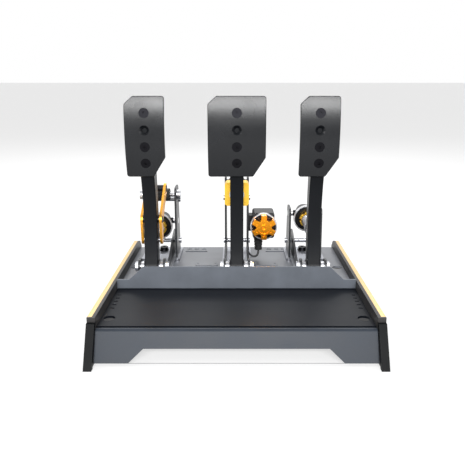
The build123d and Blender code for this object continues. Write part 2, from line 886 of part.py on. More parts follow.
def pedal_arm(x, strut_z, lever_bolts):
    """A bowed arm with a pivot barrel, a seat for the face plate and a slot for the strut's eye."""
    tip_z = face_top - arm_tip_drop
    waist_z = (pivot_z + face_bottom) / 2
    with BuildPart() as arm:
        with BuildSketch(across(x - arm_half)):
            with BuildLine():
                low_front = (arm_front_y, pivot_z)
                seat_low = bow_point(face_back_radius, face_bottom)
                seat_top = bow_point(face_back_radius, tip_z)
                ThreePointArc(low_front, (arm_front_y + arm_bow, waist_z), seat_low)
                ThreePointArc(seat_low, bow_point(face_back_radius, face_middle_z), seat_top)
                Polyline(
                    seat_top,
                    (seat_top[0] + arm_tip_depth, tip_z),
                    (seat_low[0] + arm_head_depth, face_bottom + arm_tip_drop),
                )
                ThreePointArc(
                    (seat_low[0] + arm_head_depth, face_bottom + arm_tip_drop),
                    (arm_front_y + arm_bow + arm_waist_depth, waist_z),
                    (arm_front_y + arm_low_depth, pivot_z),
                )
                Line((arm_front_y + arm_low_depth, pivot_z), low_front)
            make_face()
            with Locations((pivot_y, pivot_z)):
                Circle(arm_barrel_radius)
        extrude(amount=2 * arm_half)
        fillet(arm.edges().filter_by(Axis.X, reverse=True).group_by(Axis.X)[0], arm_edge_radius)
        fillet(arm.edges().filter_by(Axis.X, reverse=True).group_by(Axis.X)[-1], arm_edge_radius)
        with BuildSketch(across(x - arm_half)):
            with Locations((pivot_y, pivot_z)):
                Circle(bush_radius)
            with Locations((link_y, strut_z)):
                Circle(link_radius)
            if lever_bolts:
                with Locations((lever_elbow_y, lever_elbow_z)):
                    Circle(lever_bolt_radius + running_gap)
        extrude(amount=2 * arm_half, mode=Mode.SUBTRACT)
        slot_front = link_y - eye_radius - eye_side_gap * 2
        slot_rear = arm_front_y + arm_bow + arm_low_depth
        with BuildSketch(across(x - eye_half - eye_side_gap)):
            with Locations(((slot_front + slot_rear) / 2, strut_z)):
                Rectangle(slot_rear - slot_front, 2 * (eye_radius + eye_room))
        extrude(amount=2 * (eye_half + eye_side_gap), mode=Mode.SUBTRACT)
        for place in face_screw_places:
            hole_plane = screw_plane(x, face_hole_heights[place])
            with BuildSketch(hole_plane):
                Circle(face_screw_radius + tapping_gap)
            extrude(amount=-(face_screw_length + tapping_gap), mode=Mode.SUBTRACT)
    return arm


def face_plate(x, width):
    """A bowed face plate with two cut corners and four countersunk holes."""
    with BuildPart() as face:
        with BuildSketch(across(x - width / 2)):
            with BuildLine():
                back_low = bow_point(face_back_radius, face_bottom)
                back_top = bow_point(face_back_radius, face_top)
                front_low = bow_point(face_radius, face_bottom)
                front_top = bow_point(face_radius, face_top)
                ThreePointArc(back_low, bow_point(face_back_radius, face_middle_z), back_top)
                Line(back_top, front_top)
                ThreePointArc(front_top, bow_point(face_radius, face_middle_z), front_low)
                Line(front_low, back_low)
            make_face()
        extrude(amount=width)
        left = x - width / 2
        right = x + width / 2
        with BuildSketch(Plane.XZ.offset(-face_centre_y)):
            with BuildLine():
                Polyline(
                    (left, face_bottom),
                    (left, face_top - face_top_cut_z),
                    (left + face_top_cut_x, face_top),
                    (right, face_top),
                    (right, face_bottom + face_bottom_cut_z),
                    (right - face_bottom_cut_x, face_bottom),
                    close=True,
                )
            make_face()
            fillet(vertices(), face_corner_radius)
        extrude(amount=2 * face_radius, mode=Mode.INTERSECT)
        rim = face.faces().sort_by(Axis.Y)[0].edges()
        chamfer(rim, face_edge_chamfer)
        for height in face_hole_heights:
            with Locations(screw_plane(x, height).location):
                CounterSinkHole(
                    radius=face_hole_radius,
                    counter_sink_radius=face_sink_radius,
                    depth=face_thickness + cut_overrun,
                    counter_sink_angle=90,
                )
    return face


def plate_screws(x):
    """Three countersunk screws through a face plate into its arm."""
    with BuildPart() as screws:
        for place in face_screw_places:
            head_plane = screw_plane(x, face_hole_heights[place]).offset(-tapping_gap * 4)
            with BuildSketch(head_plane):
                Circle(face_screw_head_radius)
            with BuildSketch(head_plane.offset(-face_screw_head_height)):
                Circle(face_screw_head_radius - face_screw_head_height)
            loft()
            with BuildSketch(head_plane):
                Circle(face_screw_radius)
            extrude(amount=-face_screw_length + tapping_gap * 4)
            with BuildSketch(head_plane):
                RegularPolygon(face_hex_radius, 6)
            extrude(amount=-face_hex_depth, mode=Mode.SUBTRACT)
    return screws


def link_pin(x, strut_z, reach):
    """The pin that the strut's eye sits round, held in the arm."""
    with BuildPart() as pin:
        with BuildSketch(across(x - reach)):
            with Locations((link_y, strut_z)):
                Circle(link_radius - press_gap)
        extrude(amount=2 * reach)
    return pin


def strut_rod(x, strut_z, radius, shoulder_radius):
    """A rod with an eye at its front end and a shoulder that takes the spring or the block."""
    with BuildPart() as rod:
        with BuildSketch(across(x - eye_half)):
            with Locations((link_y, strut_z)):
                Circle(eye_radius)
            with Locations(((link_y + seat_front_y) / 2, strut_z)):
                Rectangle(seat_front_y - link_y, 2 * radius)
            with Locations((link_y, strut_z)):
                Circle(link_radius + link_gap, mode=Mode.SUBTRACT)
        extrude(amount=2 * eye_half)
        with BuildSketch(along(x, seat_front_y, strut_z)):
            Circle(shoulder_radius)
        extrude(amount=seat_thickness)
        with BuildSketch(along(x, seat_rear_y, strut_z)):
            Circle(radius)
        extrude(amount=rod_tail_y - seat_rear_y)
        chamfer(rod.edges().sort_by(Axis.Y)[-1], radius / 4)
    return rod


def strut_barrel(x, strut_z, front, disc_radius, tower_inner, nosed):
    """A barrel carried by two journals in its tower, with a rimmed disc facing the driver."""
    with BuildPart() as barrel:
        with BuildSketch(along(x, front, strut_z)):
            Circle(disc_radius)
        extrude(amount=flange_thickness)
        chamfer(barrel.edges().filter_by(GeomType.CIRCLE).sort_by(Axis.Y)[0], flange_rim / 4)
        with BuildSketch(along(x, front, strut_z)):
            Circle(disc_radius - flange_rim)
            if nosed:
                Circle(nose_radius + flange_rim, mode=Mode.SUBTRACT)
            else:
                Circle(disc_radius - 2 * flange_rim, mode=Mode.SUBTRACT)
        extrude(amount=flange_recess, mode=Mode.SUBTRACT)
        with BuildSketch(along(x, front + flange_thickness, strut_z)):
            Circle(barrel_radius)
        extrude(amount=barrel_rear_y - front - flange_thickness)
        chamfer(barrel.faces().sort_by(Axis.Y)[-1].edges(), barrel_chamfer)
        with BuildSketch(across(x - tower_inner - plate_thickness)):
            with Locations((strut_pivot_y, strut_z)):
                Circle(journal_radius)
        extrude(amount=2 * (tower_inner + plate_thickness))
        if nosed:
            with BuildSketch(along(x, front - nose_length, strut_z)):
                Circle(nose_radius)
            extrude(amount=nose_length)
        with BuildSketch(along(x, front - nose_length - cut_overrun, strut_z)):
            Circle(rod_radius + running_gap)
        extrude(amount=barrel_rear_y - front + nose_length + 2 * cut_overrun, mode=Mode.SUBTRACT)
    return barrel


def preload_ring(x, strut_z):
    """A notched ring on the barrel's nose that sets the spring's preload."""
    with BuildPart() as ring:
        with BuildSketch(along(x, ring_front_y, strut_z)):
            Circle(ring_radius)
            with PolarLocations(ring_radius, ring_notch_count):
                Rectangle(2 * ring_notch_depth, ring_notch_width, mode=Mode.SUBTRACT)
            Circle(nose_radius + running_gap, mode=Mode.SUBTRACT)
        extrude(amount=ring_length - seat_gap)
        chamfer(ring.faces().sort_by(Axis.Y)[0].outer_wire().edges(), flange_rim / 4)
    return ring


def coil_points(start_y, end_y):
    """Half-turn stations of a coil about Y: each is a point and the coil's direction there."""
    steps = 2 * coil_turns
    pitch = (end_y - start_y) / coil_turns
    stations = []
    for step in range(steps + 1):
        turn = pi * step
        place = Vector(coil_radius * cos(turn), start_y + pitch * step / 2, coil_radius * sin(turn))
        heading = Vector(-coil_radius * sin(turn), pitch / (2 * pi), coil_radius * cos(turn))
        stations.append((place, heading.normalized()))
    return stations


def least_coil_gap(start_y, end_y):
    """Least clear distance between two turns, measured on points of the coil."""
    samples = 24
    pitch = (end_y - start_y) / coil_turns
    least = pitch
    for step in range(samples):
        turn = 2 * pi * step / samples
        here = Vector(coil_radius, 0, 0)
        there = Vector(coil_radius * cos(turn), pitch * (1 - step / samples / 2), coil_radius * sin(turn))
        least = min(least, (there - here).length)
    return least - 2 * wire_radius


def coil_spring(x, strut_z):
    """One unbroken wire coiled round the rod, between the rod's shoulder and the preload ring."""
    start_y = seat_rear_y + wire_radius + coil_gap
    end_y = ring_front_y - wire_radius - coil_gap
    stations = coil_points(start_y, end_y)
    axis = Vector(x, 0, strut_z)
    with BuildPart() as spring:
        with BuildLine() as path:
            for (first, heading), (last, leaving) in zip(stations, stations[1:]):
                span = last - first
                both = heading + leaving
                square = 4 - both.length**2
                middle = span.dot(both)
                reach = (-middle + sqrt(middle**2 + square * span.length**2)) / square
                joint = (first + last + (heading - leaving) * reach) / 2
                joint_heading = (last - leaving * reach - first - heading * reach).normalized()
                TangentArc(first + axis, joint + axis, tangent=heading)
                TangentArc(joint + axis, last + axis, tangent=joint_heading)
        with BuildSketch(Plane(origin=path.line @ 0, z_dir=path.line % 0)):
            Circle(wire_radius)
        sweep(path=path.line)
    print("coil at x", x, "least gap between turns", round(least_coil_gap(start_y, end_y), 2))
    return spring


# The clutch's stop sleeve just misses the lever's tip when the pedal is fully pressed
pressed_tip_y, pressed_tip_z = turned(lever_tip_y, lever_tip_z, clutch_travel)
stop_distance = hypot(stop_tie_y - pressed_tip_y, stop_tie_z - pressed_tip_z)
sleeve_radius = stop_distance - lever_tip_radius - stop_clearance

clutch_ties = (
    (stop_tie_y, stop_tie_z, stop_tie_head_radius, stop_tie_head_length),
    (middle_tie_y, middle_tie_z, tie_head_radius, tie_head_length),
    (low_tie_y, low_tie_z, tie_head_radius, tie_head_length),
)
brake_ties = (
    (upper_tie_y, upper_tie_z, tie_head_radius, tie_head_length),
    (low_tie_y, low_tie_z, tie_head_radius, tie_head_length),
)
throttle_ties = ((low_tie_y, low_tie_z, tie_head_radius, tie_head_length),)

modules = (
    ("clutch", clutch_x, clutch_strut_z, wide_tower_inner, clutch_tower_top, clutch_ties),
    ("brake", brake_x, brake_strut_z, side_inner, brake_tower_top, brake_ties),
    ("throttle", throttle_x, throttle_strut_z, wide_tower_inner, throttle_tower_top, throttle_ties),
)

for pedal, x, strut_z, tower_inner, tower_top, ties in modules:
    narrow = tower_inner == side_inner
    end_y = side_short_y if narrow else side_rear_y
    end_z = side_short_z if narrow else side_rear_z
    lever_reach = arm_half + lever_gap + lever_thickness

    foot = foot_plate(x, tower_inner + plate_thickness)
    foot.part.label = f"{pedal}_foot_plate"
    export_step(foot.part, f"parts/{pedal}_foot_plate.step")

    plates = frame_plates(x, tower_inner, tower_top, strut_z, end_y, end_z, ties)
    plates.part.label = f"{pedal}_frame_plates"
    export_step(plates.part, f"parts/{pedal}_frame_plates.step")

    bars = tower_ties(x, tower_inner, ties)
    bars.part.label = f"{pedal}_tower_ties"
    export_step(bars.part, f"parts/{pedal}_tower_ties.step")

    shaft = pivot_shaft(x)
    shaft.label = f"{pedal}_pivot_shaft"
    export_step(shaft, f"parts/{pedal}_pivot_shaft.step")

    bushes = pivot_bushes(x)
    bushes.part.label = f"{pedal}_pivot_bushes"
    export_step(bushes.part, f"parts/{pedal}_pivot_bushes.step")

    arm = pedal_arm(x, strut_z, pedal == "clutch")
    arm.part.label = f"{pedal}_arm"
    export_step(arm.part, f"parts/{pedal}_arm.step")

    face = face_plate(x, brake_face_width if pedal == "brake" else slim_face_width)
    face.part.label = f"{pedal}_face_plate"
    export_step(face.part, f"parts/{pedal}_face_plate.step")

    screws = plate_screws(x)
    screws.part.label = f"{pedal}_plate_screws"
    export_step(screws.part, f"parts/{pedal}_plate_screws.step")

    pin = link_pin(x, strut_z, lever_reach if pedal == "clutch" else arm_half)
    pin.part.label = f"{pedal}_link_pin"
    export_step(pin.part, f"parts/{pedal}_link_pin.step")

    rod = strut_rod(x, strut_z, rod_radius, seat_radius)
    rod.part.label = f"{pedal}_strut_rod"
    export_step(rod.part, f"parts/{pedal}_strut_rod.step")

    disc_front = brake_flange_front_y if pedal == "brake" else flange_front_y
    disc_radius = brake_flange_radius if pedal == "brake" else flange_radius
    barrel = strut_barrel(x, strut_z, disc_front, disc_radius, tower_inner, pedal != "brake")
    barrel.part.label = f"{pedal}_strut_barrel"
    export_step(barrel.part, f"parts/{pedal}_strut_barrel.step")

    if pedal != "brake":
        ring = preload_ring(x, strut_z)
        ring.part.label = f"{pedal}_preload_ring"
        export_step(ring.part, f"parts/{pedal}_preload_ring.step")

        spring = coil_spring(x, strut_z)
        spring.part.label = f"{pedal}_spring"
        export_step(spring.part, f"parts/{pedal}_spring.step")

# Clutch lever: a pair of elbowed plates beside the arm
lever_inner = arm_half + lever_gap
lever_outer = lever_inner + lever_thickness
with BuildPart() as clutch_lever:
    for lever_start in (clutch_x - lever_outer, clutch_x + lever_inner):
        with BuildSketch(across(lever_start)):
            with Locations((link_y, clutch_strut_z)):
                Circle(lever_foot_radius)
            with Locations((lever_elbow_y, lever_elbow_z)):
                Circle(lever_low_radius)
            make_hull()
        extrude(amount=lever_thickness)
        with BuildSketch(across(lever_start)):
            with Locations((lever_elbow_y, lever_elbow_z)):
                Circle(lever_low_radius)
            with Locations((lever_tip_y, lever_tip_z)):
                Circle(lever_tip_radius)
            make_hull()
        extrude(amount=lever_thickness)
        with BuildSketch(across(lever_start)):
            with Locations((link_y, clutch_strut_z)):
                Circle(link_radius)
            with Locations((lever_elbow_y, lever_elbow_z)):
                Circle(lever_bolt_radius + running_gap)
            with Locations((lever_tip_y, lever_tip_z)):
                Circle(lever_bolt_radius + running_gap)
        extrude(amount=lever_thickness, mode=Mode.SUBTRACT)
clutch_lever.part.label = "clutch_lever"
export_step(clutch_lever.part, "parts/clutch_lever.step")

# Lever bolts: one through the arm at the elbow with its spacers, one across the tips
with BuildPart() as lever_bolts:
    for bolt_y, bolt_z in ((lever_elbow_y, lever_elbow_z), (lever_tip_y, lever_tip_z)):
        with BuildSketch(across(clutch_x - lever_outer)):
            with Locations((bolt_y, bolt_z)):
                Circle(lever_bolt_radius)
        extrude(amount=2 * lever_outer)
        for head_start in (clutch_x - lever_outer - lever_head_length, clutch_x + lever_outer):
            with BuildSketch(across(head_start)):
                with Locations((bolt_y, bolt_z)):
                    Circle(lever_head_radius)
            extrude(amount=lever_head_length)
    for spacer_start in (clutch_x - lever_inner, clutch_x + arm_half):
        with BuildSketch(across(spacer_start)):
            with Locations((lever_elbow_y, lever_elbow_z)):
                Circle(lever_spacer_radius)
        extrude(amount=lever_gap)
    with BuildSketch(across(clutch_x - lever_inner)):
        with Locations((lever_tip_y, lever_tip_z)):
            Circle(lever_spacer_radius)
    extrude(amount=2 * lever_inner)
lever_bolts.part.label = "clutch_lever_bolts"
export_step(lever_bolts.part, "parts/clutch_lever_bolts.step")

# Stop sleeve round the upper tie of the clutch tower
with BuildPart() as stop_sleeve:
    with BuildSketch(across(clutch_x - lever_outer)):
        with Locations((stop_tie_y, stop_tie_z)):
            Circle(sleeve_radius)
            Circle(tie_radius + stop_bore_gap, mode=Mode.SUBTRACT)
    extrude(amount=2 * lever_outer)
stop_sleeve.part.label = "clutch_stop_sleeve"
export_step(stop_sleeve.part, "parts/clutch_stop_sleeve.step")

# Brake thrust block on the rod, behind its shoulder
with BuildPart() as thrust_block:
    with BuildSketch(along(brake_x, seat_rear_y, brake_strut_z)):
        RectangleRounded(2 * thrust_half, thrust_height, thrust_corner_radius)
        Circle(rod_radius + running_gap, mode=Mode.SUBTRACT)
    extrude(amount=thrust_depth)
thrust_block.part.label = "brake_thrust_block"
export_step(thrust_block.part, "parts/brake_thrust_block.step")

# Elastomer pads between the thrust block and the barrel's disc
pads_front_y = seat_rear_y + thrust_depth
pad_length = (brake_flange_front_y - pads_front_y) / pad_count
with BuildPart() as elastomers:
    with BuildSketch(Plane.YZ):
        for pad in range(pad_count):
            start = pads_front_y + pad * pad_length
            rear = start + pad_length - pad_gap
            with BuildLine():
                Polyline(
                    (start, rod_radius + pad_bore_gap),
                    (start, pad_radius - pad_edge),
                    (start + pad_edge, pad_radius),
                    (rear - pad_edge, pad_radius),
                    (rear, pad_radius - pad_edge),
                    (rear, rod_radius + pad_bore_gap),
                    close=True,
                )
            make_face()
    revolve(axis=Axis.Y)
elastomer_group = Pos(brake_x, 0, brake_strut_z) * elastomers.part
elastomer_group.label = "brake_elastomers"
export_step(elastomer_group, "parts/brake_elastomers.step")

# Adjuster housing with the pad that carries it on the brake tower
with BuildPart() as adjuster_housing:
    with BuildSketch(along(adjuster_x, adjuster_front_y, adjuster_z)):
        RectangleRounded(2 * adjuster_half, adjuster_height, adjuster_corner_radius)
    extrude(amount=adjuster_depth)
    tower_face = brake_x + side_outer
    housing_face = adjuster_x - adjuster_half
    pad_middle_y = tower_front_y + tower_lean + adjuster_pad_length / 2
    with BuildSketch(across(tower_face)):
        with Locations((pad_middle_y, adjuster_z)):
            Rectangle(adjuster_pad_length, adjuster_pad_height)
    extrude(amount=housing_face - tower_face)
    with BuildSketch(along(adjuster_x, adjuster_front_y, adjuster_z)):
        Circle(knob_stem_radius + running_gap)
    extrude(amount=knob_stem_length, mode=Mode.SUBTRACT)
adjuster_housing.part.label = "brake_adjuster_housing"
export_step(adjuster_housing.part, "parts/brake_adjuster_housing.step")

# Round bezel in front of the housing
bezel_front_y = adjuster_front_y - bezel_length
with BuildPart() as adjuster_bezel:
    with BuildSketch(along(adjuster_x, bezel_front_y, adjuster_z)):
        Circle(bezel_radius)
    extrude(amount=bezel_length)
    with BuildSketch(along(adjuster_x, bezel_front_y, adjuster_z)):
        Circle(bezel_radius - bezel_rim)
        Circle(knob_stem_radius + bezel_rim, mode=Mode.SUBTRACT)
    extrude(amount=bezel_recess, mode=Mode.SUBTRACT)
    with BuildSketch(along(adjuster_x, bezel_front_y, adjuster_z)):
        Circle(knob_stem_radius + running_gap)
    extrude(amount=bezel_length, mode=Mode.SUBTRACT)
adjuster_bezel.part.label = "brake_adjuster_bezel"
export_step(adjuster_bezel.part, "parts/brake_adjuster_bezel.step")

# Six-lobed knob on its stem
knob_rear_y = bezel_front_y - knob_standoff
knob_front_y = knob_rear_y - knob_length
with BuildPart() as adjuster_knob:
    with BuildSketch(along(adjuster_x, knob_front_y, adjuster_z)):
        Circle(knob_root_radius)
        with PolarLocations(0, knob_lobes, start_angle=90):
            with Locations((knob_radius / 2, 0)):
                Rectangle(knob_radius, 2 * knob_lobe_half)
        tips = vertices().filter_by(lambda v: hypot(v.X, v.Y) > knob_root_radius + knob_tip_fillet)
        fillet(tips, knob_tip_fillet)
        roots = vertices().filter_by(lambda v: abs(hypot(v.X, v.Y) - knob_root_radius) < press_gap)
        fillet(roots, knob_root_fillet)
    extrude(amount=knob_length)
    chamfer(adjuster_knob.faces().sort_by(Axis.Y)[0].edges(), knob_tip_fillet / 2)
    with BuildSketch(along(adjuster_x, knob_front_y, adjuster_z)):
        Circle(knob_dish_radius)
        Circle(knob_hub_radius, mode=Mode.SUBTRACT)
    extrude(amount=knob_dish_depth, mode=Mode.SUBTRACT)
    with BuildSketch(along(adjuster_x, knob_front_y, adjuster_z)):
        Circle(knob_bore_radius)
    extrude(amount=knob_bore_depth, mode=Mode.SUBTRACT)
    with BuildSketch(along(adjuster_x, knob_front_y, adjuster_z)):
        with PolarLocations(knob_root_radius, knob_lobes, start_angle=90):
            Circle(knob_pin_radius)
    extrude(amount=knob_pin_depth, mode=Mode.SUBTRACT)
    with BuildSketch(along(adjuster_x, knob_rear_y, adjuster_z)):
        Circle(knob_stem_radius)
    extrude(amount=knob_standoff + bezel_length + knob_stem_length - seat_gap)
adjuster_knob.part.label = "brake_adjuster_knob"
export_step(adjuster_knob.part, "parts/brake_adjuster_knob.step")

# Ribbed strain relief under the housing
relief_y = adjuster_front_y + adjuster_depth / 2
relief_top = adjuster_z - adjuster_height / 2
with BuildPart() as strain_relief:
    rib = relief_length / relief_ribs
    taper = (relief_top_radius - relief_bottom_radius) / relief_length
    with BuildSketch(Plane.XZ):
        with BuildLine():
            profile = [(0, relief_top), (relief_top_radius, relief_top)]
            for index in range(relief_ribs):
                low = (index + 1) * rib
                edge = relief_top_radius - taper * low
                profile.append((edge, relief_top - low + rib / 2))
                if index < relief_ribs - 1:
                    profile.append((edge - relief_groove, relief_top - low + rib / 2))
                    profile.append((edge - relief_groove, relief_top - low))
                    profile.append((edge, relief_top - low))
            profile.append((relief_bottom_radius, relief_top - relief_length))
            profile.append((0, relief_top - relief_length))
            Polyline(*profile, close=True)
        make_face()
    revolve(axis=Axis.Z)
relief_part = Pos(relief_x, relief_y, 0) * strain_relief.part
relief_part.label = "brake_strain_relief"
export_step(relief_part, "parts/brake_strain_relief.step")

# Short lead from the strain relief, round one bend and up to the tower plate
lead_top = relief_top - relief_length
lead_start = (relief_x, relief_y, lead_top)
bend_start = (relief_x, relief_y, lead_top - lead_drop)
bend_x = relief_x - lead_bend + lead_bend * cos(radians(lead_turn))
bend_z = lead_top - lead_drop - lead_bend * sin(radians(lead_turn))
lead_run = (bend_x - tower_face) / sin(radians(180 - lead_turn))
lead_past = 2 * lead_radius
end_x = bend_x - (lead_run + lead_past) * sin(radians(180 - lead_turn))
end_z = bend_z + (lead_run + lead_past) * cos(radians(180 - lead_turn))
with BuildPart() as sensor_lead:
    with BuildLine() as lead_path:
        Line(lead_start, bend_start)
        TangentArc(bend_start, (bend_x, relief_y, bend_z), tangent=(0, 0, -1))
        Line((bend_x, relief_y, bend_z), (end_x, relief_y, end_z))
    with BuildSketch(Plane(origin=lead_start, z_dir=(0, 0, -1))):
        Circle(lead_radius)
    sweep(path=lead_path.line)
    split(bisect_by=across(tower_face), keep=Keep.TOP)
sensor_lead.part.label = "brake_sensor_lead"
export_step(sensor_lead.part, "parts/brake_sensor_lead.step")

# How far each strut's rod slides and its barrel swings over the pedal's travel
for pedal, strut_z, travel in (
    ("clutch", clutch_strut_z, clutch_travel),
    ("brake", brake_strut_z, brake_travel),
    ("throttle", throttle_strut_z, throttle_travel),
):
    eye_y, eye_z = turned(link_y, strut_z, travel)
    slide = strut_pivot_y - link_y - hypot(strut_pivot_y - eye_y, strut_z - eye_z)
    swing = degrees(atan2(strut_z - eye_z, strut_pivot_y - eye_y))
    print(pedal, "rod slides", round(slide, 4), "barrel swings", round(swing, 4))
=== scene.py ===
from math import pi, radians

import bpy
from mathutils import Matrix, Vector


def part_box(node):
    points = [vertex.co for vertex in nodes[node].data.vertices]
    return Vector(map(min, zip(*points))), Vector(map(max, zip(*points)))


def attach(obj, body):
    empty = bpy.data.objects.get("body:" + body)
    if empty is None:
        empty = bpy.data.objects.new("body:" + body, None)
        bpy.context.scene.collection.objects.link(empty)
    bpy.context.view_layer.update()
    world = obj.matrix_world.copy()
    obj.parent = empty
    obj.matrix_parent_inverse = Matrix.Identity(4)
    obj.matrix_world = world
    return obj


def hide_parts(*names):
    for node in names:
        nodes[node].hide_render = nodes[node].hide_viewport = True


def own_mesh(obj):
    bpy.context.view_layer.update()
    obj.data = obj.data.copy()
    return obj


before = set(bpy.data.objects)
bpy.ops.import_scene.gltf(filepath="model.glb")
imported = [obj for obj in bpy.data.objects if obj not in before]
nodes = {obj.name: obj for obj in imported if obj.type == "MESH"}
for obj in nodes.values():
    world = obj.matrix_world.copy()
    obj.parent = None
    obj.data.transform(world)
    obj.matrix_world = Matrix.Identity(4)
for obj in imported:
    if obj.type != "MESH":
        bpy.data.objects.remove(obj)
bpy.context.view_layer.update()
scene = bpy.context.scene

WHITE = (1, 1, 1, 1)

# Camera: from in front and a little above, without roll, as in the photograph
IMAGE_SIDE = 465
FOCAL_PIXELS = 560.0
SENSOR_MM = 36.0
CAMERA_PLACE = (0.0, -0.77465, 0.3312)
CAMERA_PITCH = radians(15.43)
CAMERA_CLIP_START = 0.01
PRINCIPAL_SHIFT_PIXELS = 4.0

camera_data = bpy.data.cameras.new("camera")
camera_data.sensor_width = SENSOR_MM
camera_data.lens = FOCAL_PIXELS / IMAGE_SIDE * SENSOR_MM
camera_data.shift_x = -PRINCIPAL_SHIFT_PIXELS / IMAGE_SIDE
camera_data.clip_start = CAMERA_CLIP_START
camera = bpy.data.objects.new("camera", camera_data)
camera.location = CAMERA_PLACE
camera.rotation_euler = (pi / 2 - CAMERA_PITCH, 0, 0)
scene.collection.objects.link(camera)
scene.camera = camera

scene.view_settings.view_transform = "Standard"

# Materials: scales of noise are in repeats to a metre, bump depths in metres
NOISE_DETAIL = 4.0
TONE_SPLIT = (0.35, 0.65)

COAT_GRAIN = 1400
COAT_CLOUDS = 30
COAT_TONES = (0.9, 1.1)
COAT_GLOSS = (-0.05, 0.07)
COAT_BUMP = (0.12, 0.0002)

METAL_GRAIN = 900
METAL_TONES = (0.93, 1.05)
METAL_GLOSS = (-0.06, 0.08)
METAL_BUMP = (0.06, 0.0001)

PLASTIC_GRAIN = 1100
PLASTIC_CLOUDS = 40
PLASTIC_TONES = (0.85, 1.15)
PLASTIC_GLOSS = (-0.05, 0.08)
PLASTIC_BUMP_DEPTH = 0.0002


def new_material(name, color, metallic, roughness):
    """A material with its shader's plain values set, its node tree and its shader."""
    material = bpy.data.materials.new(name)
    material.use_nodes = True
    shader = material.node_tree.nodes["Principled BSDF"]
    shader.inputs["Base Color"].default_value = (*color, 1)
    shader.inputs["Metallic"].default_value = metallic
    shader.inputs["Roughness"].default_value = roughness
    return material, material.node_tree, shader


def add_noise(tree, scale, stretch=(1, 1, 1)):
    """Noise over the object's own coordinates, stretched along its axes."""
    place = tree.nodes.new("ShaderNodeTexCoord")
    mapping = tree.nodes.new("ShaderNodeMapping")
    mapping.inputs["Scale"].default_value = stretch
    noise = tree.nodes.new("ShaderNodeTexNoise")
    noise.inputs["Scale"].default_value = scale
    noise.inputs["Detail"].default_value = NOISE_DETAIL
    tree.links.new(place.outputs["Object"], mapping.inputs["Vector"])
    tree.links.new(mapping.outputs["Vector"], noise.inputs["Vector"])
    return noise.outputs["Fac"]


def vary_roughness(tree, shader, source, roughness, spread):
    """Spreads the roughness about its middle by a texture."""
    low, high = spread
    node = tree.nodes.new("ShaderNodeMapRange")
    node.inputs["To Min"].default_value = roughness + low
    node.inputs["To Max"].default_value = roughness + high
    tree.links.new(source, node.inputs["Value"])
    tree.links.new(node.outputs["Result"], shader.inputs["Roughness"])


def vary_color(tree, shader, source, dark, light):
    """Colours the surface between two tones by a texture."""
    ramp = tree.nodes.new("ShaderNodeValToRGB")
    for stop, position, tone in zip(ramp.color_ramp.elements, TONE_SPLIT, (dark, light)):
        stop.position = position
        stop.color = (*tone, 1)
    tree.links.new(source, ramp.inputs["Fac"])
    tree.links.new(ramp.outputs["Color"], shader.inputs["Base Color"])


def add_bump(tree, shader, source, strength, distance):
    """Raises the surface by a texture."""
    bump = tree.nodes.new("ShaderNodeBump")
    bump.inputs["Strength"].default_value = strength
    bump.inputs["Distance"].default_value = distance
    tree.links.new(source, bump.inputs["Height"])
    tree.links.new(bump.outputs["Normal"], shader.inputs["Normal"])


def shades(color, factors):
    """A darker and a lighter shade of a colour."""
    return [tuple(channel * factor for channel in color) for factor in factors]


def powder_coat(name, color, roughness, specular=0.5):
    """Satin powder coat with a fine grain."""
    material, tree, shader = new_material(name, color, 0.0, roughness)
    shader.inputs["Specular IOR Level"].default_value = specular
    grain = add_noise(tree, COAT_GRAIN)
    clouds = add_noise(tree, COAT_CLOUDS)
    vary_color(tree, shader, clouds, *shades(color, COAT_TONES))
    vary_roughness(tree, shader, clouds, roughness, COAT_GLOSS)
    add_bump(tree, shader, grain, *COAT_BUMP)
    return material


def anodised(name, color, roughness, brushed=(1, 1, 1)):
    """Bare or coloured metal with a fine blasted or brushed grain."""
    material, tree, shader = new_material(name, color, 1.0, roughness)
    grain = add_noise(tree, METAL_GRAIN, brushed)
    vary_color(tree, shader, grain, *shades(color, METAL_TONES))
    vary_roughness(tree, shader, grain, roughness, METAL_GLOSS)
    add_bump(tree, shader, grain, *METAL_BUMP)
    return material


def moulded(name, color, roughness, bump_strength):
    """Moulded plastic or rubber with a fine texture."""
    material, tree, shader = new_material(name, color, 0.0, roughness)
    grain = add_noise(tree, PLASTIC_GRAIN)
    clouds = add_noise(tree, PLASTIC_CLOUDS)
    vary_color(tree, shader, clouds, *shades(color, PLASTIC_TONES))
    vary_roughness(tree, shader, grain, roughness, PLASTIC_GLOSS)
    add_bump(tree, shader, grain, bump_strength, PLASTIC_BUMP_DEPTH)
    return material


BLACK = (0.006, 0.007, 0.009)
DECK_GREY = (0.2, 0.21, 0.235)
STOP_GREY = (0.13, 0.145, 0.17)
PALE_GOLD = (0.78, 0.56, 0.27)
ORANGE_GOLD = (0.95, 0.36, 0.02)
SILVER = (0.82, 0.82, 0.84)
BARREL_BLACK = (0.03, 0.031, 0.034)
BEZEL_BLACK = (0.03, 0.03, 0.033)
BRUSHED_LENGTHWISE = (1, 0.02, 1)
RIM_WIDTH = 0.0018


